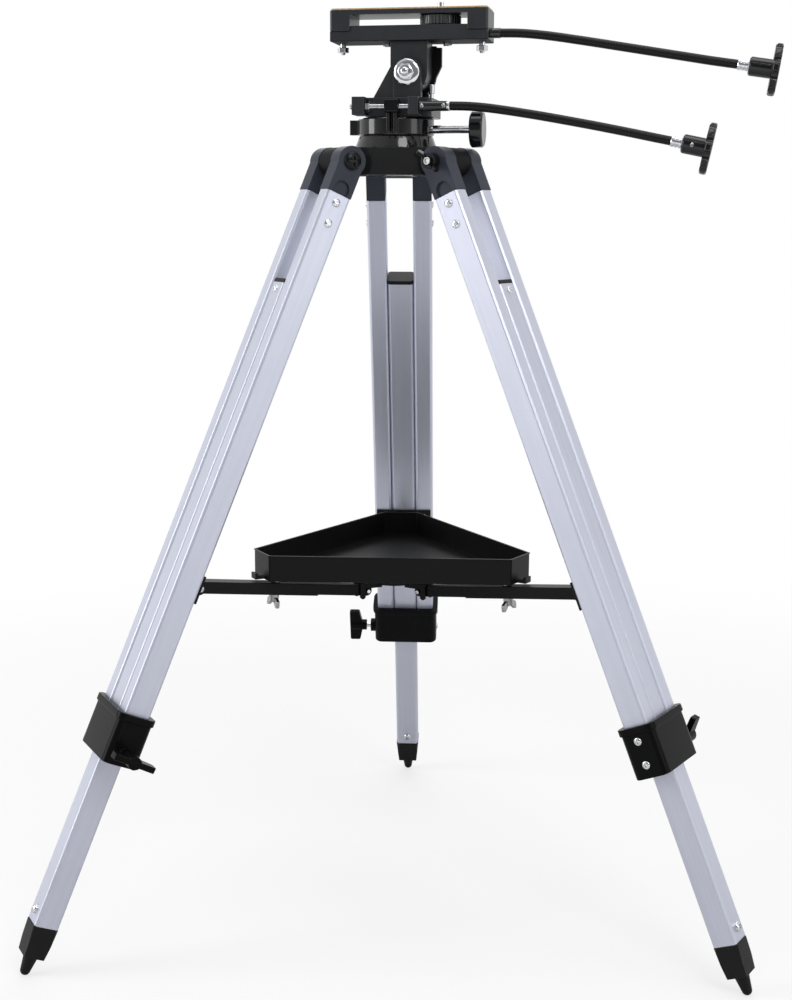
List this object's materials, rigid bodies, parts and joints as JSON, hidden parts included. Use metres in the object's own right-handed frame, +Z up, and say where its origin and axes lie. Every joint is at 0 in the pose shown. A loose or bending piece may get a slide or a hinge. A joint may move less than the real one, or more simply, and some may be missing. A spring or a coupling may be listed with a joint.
{
  "type": "alt azimuth telescope mount on tripod",
  "caption": "Alt azimuth telescope mount with slow motion screws and flexible cables, on a folding aluminium tripod with telescoping legs, spreader and accessory tray.",
  "frame": {"origin": "on the floor, in the middle of the box round the three feet", "axes": "+Z up, +X along the saddle towards the slow motion knobs, the front faces -Y"},
  "size_m": [0.6985, 0.6572, 0.9252],
  "materials": {
    "silver_rail": "satin anodised extrusion",
    "silver_tube": "satin anodised extrusion",
    "charcoal_plastic": "moulded, semi matt",
    "gloss_plastic": "moulded, glossy",
    "black_casting": "gloss enamel on die casting",
    "satin_casting": "satin enamel on die casting",
    "black_sheet": "satin enamel on sheet steel",
    "black_zamak": "black oxide on steel and zinc",
    "chrome_steel": "bright plated",
    "black_vinyl": "smooth vinyl cover",
    "cork": "pressed cork sheet"
  },
  "bodies": {
    "tripod_head": {"hub": "black_casting", "hinge_bolts": "black_zamak", "azimuth_bolt": "chrome_steel"},
    "left_leg": {"left_rails": "silver_rail", "left_lugs": "charcoal_plastic", "left_leg_screws": "chrome_steel", "left_leg_clamp": "gloss_plastic", "left_bracket": "black_sheet"},
    "left_wing_nut": {"left_pivot_wing_nut": "black_zamak"},
    "left_lower_leg": {"left_inner_leg": "silver_tube", "left_inner_cap": "charcoal_plastic", "left_foot": "charcoal_plastic"},
    "left_clamp_screw": {"left_clamp_screw": "black_zamak"},
    "left_spreader_arm": {"left_arm": "black_sheet"},
    "left_tray_screw": {"left_tray_screw": "black_zamak"},
    "right_leg": {"right_rails": "silver_rail", "right_lugs": "charcoal_plastic", "right_leg_screws": "chrome_steel", "right_leg_clamp": "gloss_plastic", "right_bracket": "black_sheet"},
    "right_wing_nut": {"right_pivot_wing_nut": "black_zamak"},
    "right_lower_leg": {"right_inner_leg": "silver_tube", "right_inner_cap": "charcoal_plastic", "right_foot": "charcoal_plastic"},
    "right_clamp_screw": {"right_clamp_screw": "black_zamak"},
    "right_spreader_arm": {"right_arm": "black_sheet"},
    "right_tray_screw": {"right_tray_screw": "black_zamak"},
    "rear_leg": {"rear_rails": "silver_rail", "rear_lugs": "charcoal_plastic", "rear_leg_screws": "chrome_steel", "rear_leg_clamp": "gloss_plastic", "rear_bracket": "black_sheet"},
    "rear_wing_nut": {"rear_pivot_wing_nut": "black_zamak"},
    "rear_lower_leg": {"rear_inner_leg": "silver_tube", "rear_inner_cap": "charcoal_plastic", "rear_foot": "charcoal_plastic"},
    "rear_clamp_screw": {"rear_clamp_screw": "black_zamak"},
    "rear_spreader_arm": {"rear_arm": "black_sheet"},
    "rear_tray_screw": {"rear_tray_screw": "black_zamak"},
    "centre_plate": {"centre_plate": "black_sheet"},
    "tray": {"tray": "black_sheet"},
    "azimuth_collar": {"azimuth_collar": "black_casting"},
    "clamp_knob": {"clamp_knob": "gloss_plastic"},
    "yoke": {"yoke": "black_casting", "yoke_bolts": "chrome_steel", "azimuth_cable": "black_vinyl"},
    "azimuth_screw": {"azimuth_screw": "chrome_steel"},
    "azimuth_nut": {"azimuth_nut": "black_zamak"},
    "azimuth_knob": {"azimuth_knob": "gloss_plastic"},
    "altitude_arm": {"altitude_arm": "black_sheet"},
    "tilt_head": {"tilt_bar": "satin_casting", "saddle": "satin_casting", "cork_pad": "cork", "altitude_cable": "black_vinyl"},
    "altitude_screw": {"altitude_screw": "chrome_steel"},
    "altitude_nut": {"altitude_nut": "black_zamak"},
    "altitude_knob": {"altitude_knob": "gloss_plastic"},
    "camera_knob": {"camera_knob": "gloss_plastic"},
    "ring_bolt_left": {"ring_bolt_left": "chrome_steel"},
    "ring_bolt_right": {"ring_bolt_right": "chrome_steel"}
  },
  "joints": [
    {"name": "left_leg_fold", "type": "hinge", "parent": "tripod_head", "child": "left_leg", "pos_m": [-0.0795, -0.11278, 0.773], "axis": [0.6225, -0.7826, 0], "range_deg": [0, 20]},
    {"name": "left_wing_nut_turn", "type": "hinge", "parent": "tripod_head", "child": "left_wing_nut", "pos_m": [-0.0795, -0.11278, 0.773], "axis": [0.6225, -0.7826, 0], "continuous": true},
    {"name": "left_leg_slide", "type": "slide", "parent": "left_leg", "child": "left_lower_leg", "axis": [-0.3121, -0.2483, -0.917], "range_m": [-0.085, 0.36]},
    {"name": "left_clamp_screw_turn", "type": "hinge", "parent": "left_leg", "child": "left_clamp_screw", "pos_m": [-0.26771, -0.26248, 0.22003], "axis": [0.6225, -0.7826, 0], "continuous": true},
    {"name": "left_arm_fold", "type": "hinge", "parent": "left_leg", "child": "left_spreader_arm", "pos_m": [-0.19933, -0.20809, 0.36578], "axis": [0.6225, -0.7826, 0], "range_deg": [-94, 0]},
    {"name": "left_tray_screw_turn", "type": "hinge", "parent": "left_spreader_arm", "child": "left_tray_screw", "pos_m": [-0.13428, -0.15635, 0.35534], "axis": [0.0975, 0.0776, 0.9922], "continuous": true},
    {"name": "right_leg_fold", "type": "hinge", "parent": "tripod_head", "child": "right_leg", "pos_m": [0.03013, -0.09639, 0.773], "axis": [0.3665, 0.9304, 0], "range_deg": [0, 20]},
    {"name": "right_wing_nut_turn", "type": "hinge", "parent": "tripod_head", "child": "right_wing_nut", "pos_m": [0.03013, -0.09639, 0.773], "axis": [0.3665, 0.9304, 0], "continuous": true},
    {"name": "right_leg_slide", "type": "slide", "parent": "right_leg", "child": "right_lower_leg", "axis": [0.3711, -0.1462, -0.917], "range_m": [-0.085, 0.36]},
    {"name": "right_clamp_screw_turn", "type": "hinge", "parent": "right_leg", "child": "right_clamp_screw", "pos_m": [0.25388, -0.18453, 0.22003], "axis": [0.3665, 0.9304, 0], "continuous": true},
    {"name": "right_arm_fold", "type": "hinge", "parent": "right_leg", "child": "right_spreader_arm", "pos_m": [0.17259, -0.15251, 0.36578], "axis": [0.3665, 0.9304, 0], "range_deg": [-94, 0]},
    {"name": "right_tray_screw_turn", "type": "hinge", "parent": "right_spreader_arm", "child": "right_tray_screw", "pos_m": [0.09526, -0.12205, 0.35534], "axis": [-0.116, 0.0457, 0.9922], "continuous": true},
    {"name": "rear_leg_fold", "type": "hinge", "parent": "tripod_head", "child": "rear_leg", "pos_m": [-0.03887, -0.00964, 0.773], "axis": [-0.989, -0.1478, 0], "range_deg": [0, 20]},
    {"name": "rear_wing_nut_turn", "type": "hinge", "parent": "tripod_head", "child": "rear_wing_nut", "pos_m": [-0.03887, -0.00964, 0.773], "axis": [-0.989, -0.1478, 0], "continuous": true},
    {"name": "rear_leg_slide", "type": "slide", "parent": "rear_leg", "child": "rear_lower_leg", "axis": [-0.0589, 0.3944, -0.917], "range_m": [-0.085, 0.36]},
    {"name": "rear_clamp_screw_turn", "type": "hinge", "parent": "rear_leg", "child": "rear_clamp_screw", "pos_m": [-0.07442, 0.22821, 0.22003], "axis": [-0.989, -0.1478, 0], "continuous": true},
    {"name": "rear_arm_fold", "type": "hinge", "parent": "rear_leg", "child": "rear_spreader_arm", "pos_m": [-0.0615, 0.14179, 0.36578], "axis": [-0.989, -0.1478, 0], "range_deg": [-94, 0]},
    {"name": "rear_tray_screw_turn", "type": "hinge", "parent": "rear_spreader_arm", "child": "rear_tray_screw", "pos_m": [-0.04922, 0.0596, 0.35534], "axis": [0.0184, -0.1233, 0.9922], "continuous": true},
    {"name": "centre_plate_drop", "type": "slide", "parent": "tripod_head", "child": "centre_plate", "axis": [0, 0, -1], "range_m": [0, 0.1898]},
    {"name": "tray_removal", "type": "slide", "parent": "tripod_head", "child": "tray", "axis": [0.1406, -0.9406, 0.309], "range_m": [0, 0.612]},
    {"name": "azimuth_turn", "type": "hinge", "parent": "tripod_head", "child": "azimuth_collar", "pos_m": [-0.02941, -0.07293, 0.798], "axis": [0, 0, 1], "continuous": true},
    {"name": "clamp_knob_turn", "type": "hinge", "parent": "azimuth_collar", "child": "clamp_knob", "pos_m": [0.03059, -0.07293, 0.8052], "axis": [1, 0, 0], "continuous": true},
    {"name": "azimuth_fine", "type": "hinge", "parent": "azimuth_collar", "child": "yoke", "pos_m": [-0.02941, -0.07293, 0.816], "axis": [0, 0, 1], "range_deg": [-7, 7]},
    {"name": "azimuth_screw_turn", "type": "hinge", "parent": "yoke", "child": "azimuth_screw", "pos_m": [-0.02941, -0.11293, 0.825], "axis": [1, 0, 0], "range_deg": [-1025, 1025]},
    {"name": "azimuth_nut_slide", "type": "slide", "parent": "yoke", "child": "azimuth_nut", "axis": [1, 0, 0], "range_m": [-0.005, 0.005]},
    {"name": "azimuth_knob_turn", "type": "hinge", "parent": "yoke", "child": "azimuth_knob", "pos_m": [0.24059, -0.11293, 0.7913], "axis": [0.9797, 0, -0.2004], "range_deg": [-1025, 1025]},
    {"name": "altitude_tilt", "type": "hinge", "parent": "yoke", "child": "altitude_arm", "pos_m": [-0.01391, -0.07293, 0.858], "axis": [0, -1, 0], "range_deg": [-35, 40]},
    {"name": "altitude_fine", "type": "hinge", "parent": "altitude_arm", "child": "tilt_head", "pos_m": [-0.01391, -0.07293, 0.858], "axis": [0, -1, 0], "range_deg": [-5, 5]},
    {"name": "altitude_screw_turn", "type": "hinge", "parent": "tilt_head", "child": "altitude_screw", "pos_m": [0.03059, -0.08243, 0.8945], "axis": [1, 0, 0], "range_deg": [-668, 668]},
    {"name": "altitude_nut_slide", "type": "slide", "parent": "tilt_head", "child": "altitude_nut", "axis": [1, 0, 0], "range_m": [-0.0035, 0.0035]},
    {"name": "altitude_knob_turn", "type": "hinge", "parent": "tilt_head", "child": "altitude_knob", "pos_m": [0.29859, -0.08243, 0.8624], "axis": [0.9889, 0, -0.1483], "range_deg": [-668, 668]},
    {"name": "camera_knob_turn", "type": "hinge", "parent": "tilt_head", "child": "camera_knob", "pos_m": [0.01409, -0.07293, 0.9025], "axis": [0, 0, 1], "continuous": true},
    {"name": "ring_bolt_left_slide", "type": "slide", "parent": "tilt_head", "child": "ring_bolt_left", "axis": [0, 0, 1], "range_m": [0, 0.004]},
    {"name": "ring_bolt_right_slide", "type": "slide", "parent": "tilt_head", "child": "ring_bolt_right", "axis": [0, 0, 1], "range_m": [0, 0.004]}
  ],
  "couplings": [
    {"joint": "left_arm_fold", "follows": "left_leg_fold", "ratio": -4.6018},
    {"joint": "right_leg_fold", "follows": "left_leg_fold", "ratio": 1},
    {"joint": "right_arm_fold", "follows": "left_leg_fold", "ratio": -4.6018},
    {"joint": "rear_leg_fold", "follows": "left_leg_fold", "ratio": 1},
    {"joint": "rear_arm_fold", "follows": "left_leg_fold", "ratio": -4.6018},
    {"joint": "centre_plate_drop", "follows": "left_leg_fold", "m_per_rad": 0.5331},
    {"joint": "tray_removal", "follows": "left_leg_fold", "m_per_rad": 1.7189},
    {"joint": "azimuth_screw_turn", "follows": "azimuth_fine", "ratio": 143.62},
    {"joint": "azimuth_nut_slide", "follows": "azimuth_fine", "m_per_rad": -0.04},
    {"joint": "azimuth_knob_turn", "follows": "azimuth_fine", "ratio": 143.62},
    {"joint": "altitude_screw_turn", "follows": "altitude_fine", "ratio": 131.05},
    {"joint": "altitude_nut_slide", "follows": "altitude_fine", "m_per_rad": 0.0365},
    {"joint": "altitude_knob_turn", "follows": "altitude_fine", "ratio": 131.05}
  ]
}
